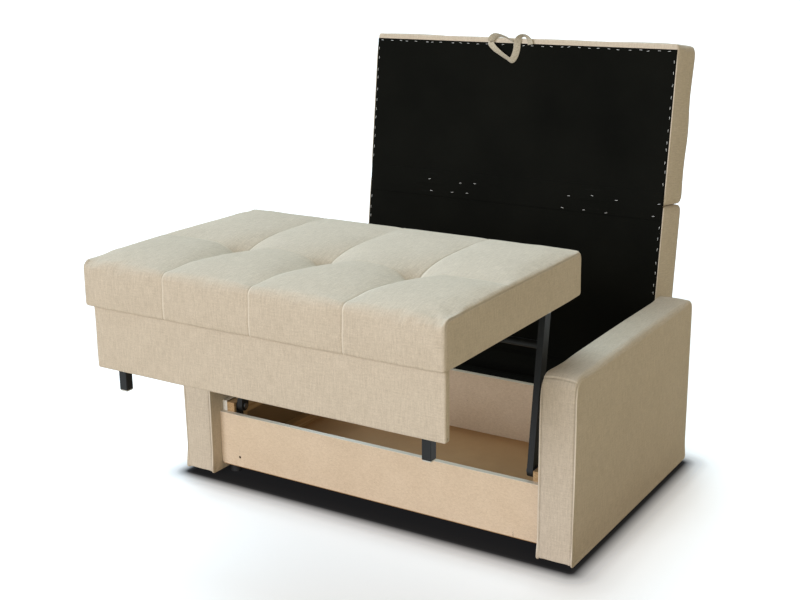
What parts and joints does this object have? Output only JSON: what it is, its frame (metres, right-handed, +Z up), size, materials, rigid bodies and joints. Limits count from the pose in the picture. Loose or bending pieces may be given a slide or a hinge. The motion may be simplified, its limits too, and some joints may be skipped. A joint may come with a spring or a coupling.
{
  "type": "sofa bed",
  "caption": "Sofa bed between slab armrests: tufted seat swung up on steel arms over an open storage box, with a two-section folding back standing unfolded behind.",
  "frame": {"origin": "on the floor, at the middle of the whole sofa bed's box in the pictured pose", "axes": "+X to the right of a viewer who faces the sofa's front, -Y towards the front where people sit, +Z up"},
  "size_m": [1.45, 1.7512, 1.4282],
  "materials": {
    "fabric": "beige woven upholstery over foam",
    "strap": "sewn strap of the upholstery fabric",
    "lining": "black non-woven lining cloth",
    "lining_board": "board covered in black lining cloth",
    "chipboard": "raw particle board",
    "white_board": "white faced particle board",
    "edge_band": "white edge band",
    "pine": "planed softwood",
    "hardboard": "brown hardboard",
    "black_plastic": "black moulded plastic",
    "pale_plastic": "pale grey moulded plastic",
    "felt": "pressed felt",
    "zinc": "zinc plated steel",
    "bush": "nylon bush",
    "black_steel": "black powder coat, satin",
    "black_leg": "black powder coat on square steel"
  },
  "bodies": {
    "base": {"armrest_cover_left": "fabric", "armrest_cover_right": "fabric", "armrest_frame_left": "chipboard", "armrest_frame_right": "chipboard", "armrest_glides": "black_plastic", "armrest_bolts": "zinc", "box_front": "chipboard", "box_back": "chipboard", "box_side_left": "white_board", "box_side_right": "white_board", "edge_bands": "edge_band", "side_rails_left": "pine", "side_rails_right": "pine", "box_floor": "hardboard", "floor_bearers": "pine", "box_feet": "black_plastic", "seat_pads": "felt", "rear_beams": "pine", "rear_shelf": "lining_board", "rear_cover": "lining_board", "pivot_bracket_left": "black_steel", "pivot_bracket_right": "black_steel", "pivot_bolts": "zinc", "fall_hinge_base_left": "black_steel", "fall_hinge_base_right": "black_steel", "fall_hinge_pins": "zinc"},
    "arms": {"lift_arm_left": "black_steel", "lift_arm_right": "black_steel", "arm_bushes": "bush", "cross_tube": "black_steel"},
    "seat": {"seat_cushion": "fabric", "seat_frame": "pine", "seat_deck": "hardboard", "seat_lining": "lining", "seat_hanger_left": "black_steel", "seat_hanger_right": "black_steel", "seat_pivot_bolts": "zinc", "skirt_board": "chipboard", "skirt_cover": "fabric", "seat_leg_left": "black_leg", "seat_leg_right": "black_leg", "leg_glides": "pale_plastic"},
    "back_lower": {"lower_back_cushion": "fabric", "lower_back_frame": "pine", "lower_back_lining": "lining", "fall_hinge_tongue_left": "black_steel", "fall_hinge_tongue_right": "black_steel", "fold_hinge_lower_leaves": "black_steel", "fold_hinge_pins": "black_steel"},
    "back_upper": {"upper_back_cushion": "fabric", "upper_back_frame": "pine", "upper_back_lining": "lining", "fold_hinge_upper_leaves": "black_steel", "pull_strap": "strap"}
  },
  "joints": [
    {"name": "arm_swing", "type": "hinge", "parent": "base", "child": "arms", "pos_m": [0, -0.25034, 0.246], "axis": [1, 0, 0], "range_deg": [-82, 98]},
    {"name": "seat_level", "type": "hinge", "parent": "arms", "child": "seat", "pos_m": [0, -0.18256, 0.72826], "axis": [1, 0, 0], "range_deg": [-98, 82]},
    {"name": "back_tilt", "type": "hinge", "parent": "base", "child": "back_lower", "pos_m": [0, 0.55566, 0.26], "axis": [1, 0, 0], "range_deg": [0, 6]},
    {"name": "back_fold", "type": "hinge", "parent": "back_lower", "child": "back_upper", "pos_m": [0, 0.63517, 0.88496], "axis": [1, 0, 0], "range_deg": [0, 178]}
  ],
  "couplings": [
    {"joint": "seat_level", "follows": "arm_swing", "ratio": -1}
  ]
}
